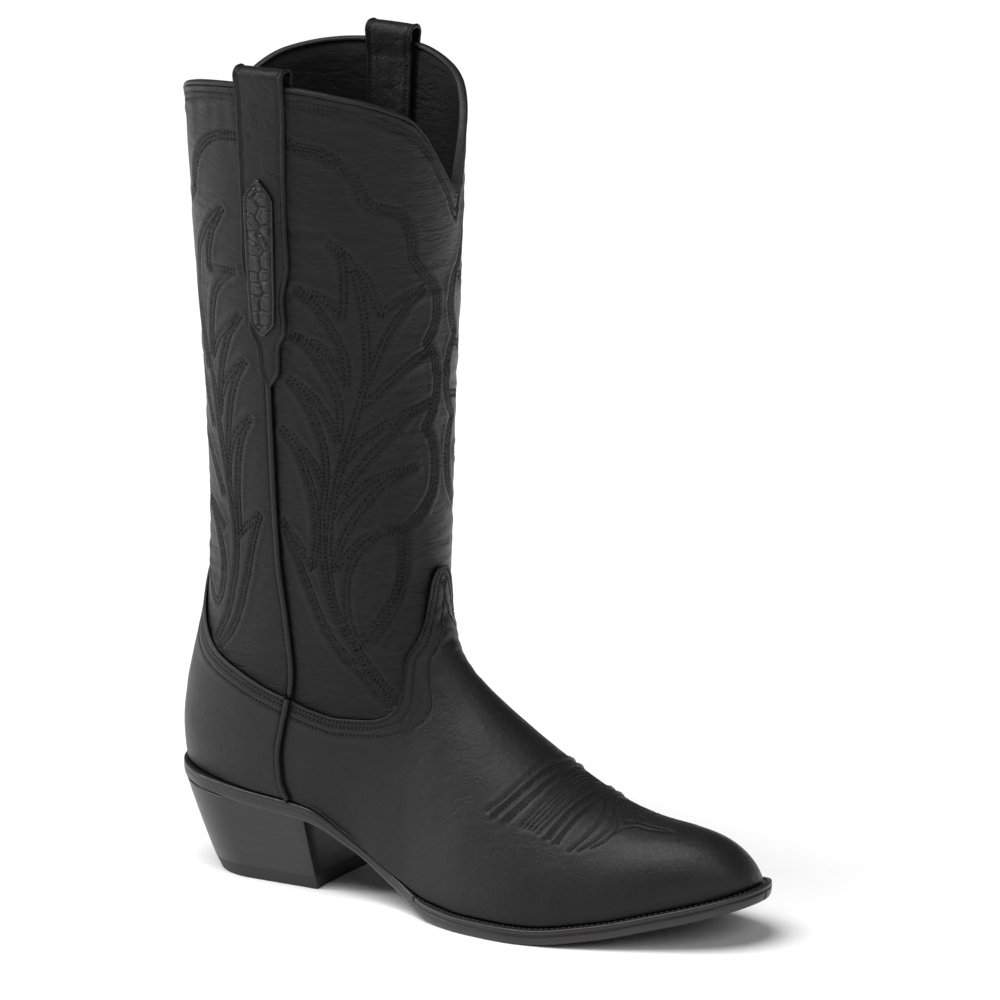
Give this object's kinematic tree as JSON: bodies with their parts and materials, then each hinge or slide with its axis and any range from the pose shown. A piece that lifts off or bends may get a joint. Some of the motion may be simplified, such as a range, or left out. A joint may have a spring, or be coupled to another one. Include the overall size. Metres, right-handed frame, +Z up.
{
  "type": "cowboy boot",
  "caption": "Tall black leather western boot with V-dipped top, pull straps, pointed toe, stitched shaft, welted leather sole and underslung stacked heel.",
  "frame": {"origin": "on the floor under the middle of the heel cap", "axes": "+X from the heel to the toe, +Y to the inner side of the foot, +Z up the leg"},
  "size_m": [0.2927, 0.122, 0.3839],
  "materials": {
    "shaft_leather": "soft black leather, satin",
    "foot_leather": "smooth black leather, semi-gloss",
    "lining_leather": "matt black lining leather",
    "embossed_leather": "glossy scale-embossed black leather",
    "sole_edge_leather": "burnished black-brown sole leather",
    "bare_leather": "natural vegetable-tanned leather",
    "stiff_board": "stiff leather board",
    "rubber": "matt black rubber",
    "cork": "granular cork",
    "peg_wood": "pale peg wood",
    "steel": "spring steel",
    "brass": "brass nail heads"
  },
  "bodies": {
    "root": {"front_shaft": "shaft_leather", "back_shaft": "shaft_leather", "front_shaft_lining": "lining_leather", "back_lining": "lining_leather", "topline_bead_front": "foot_leather", "topline_bead_back": "foot_leather", "vamp": "foot_leather", "vamp_lining": "lining_leather", "toe_box": "stiff_board", "heel_counter_cover": "foot_leather", "counter_stiffener": "stiff_board", "insole": "bare_leather", "sock_liner": "lining_leather", "welt": "sole_edge_leather", "heel_rand": "sole_edge_leather", "cork_filler": "cork", "steel_shank": "steel", "outsole": "sole_edge_leather", "heel_cap": "rubber", "wooden_peg_1": "peg_wood", "wooden_peg_2": "peg_wood", "wooden_peg_3": "peg_wood", "wooden_peg_4": "peg_wood", "wooden_peg_5": "peg_wood", "wooden_peg_6": "peg_wood", "wooden_peg_7": "peg_wood", "wooden_peg_8": "peg_wood", "wooden_peg_9": "peg_wood", "wooden_peg_10": "peg_wood", "heel_lift_1": "sole_edge_leather", "heel_lift_2": "sole_edge_leather", "heel_lift_3": "sole_edge_leather", "heel_lift_4": "sole_edge_leather", "heel_lift_5": "sole_edge_leather", "heel_nail_1": "brass", "heel_nail_2": "brass", "heel_nail_3": "brass", "heel_nail_4": "brass", "heel_nail_5": "brass", "heel_nail_6": "brass", "heel_nail_7": "brass", "side_piping_outer": "foot_leather", "foot_piping_outer": "foot_leather", "pull_strap_outer": "foot_leather", "strap_shield_outer": "embossed_leather", "side_piping_inner": "foot_leather", "foot_piping_inner": "foot_leather", "pull_strap_inner": "foot_leather", "strap_shield_inner": "embossed_leather"}
  },
  "joints": []
}
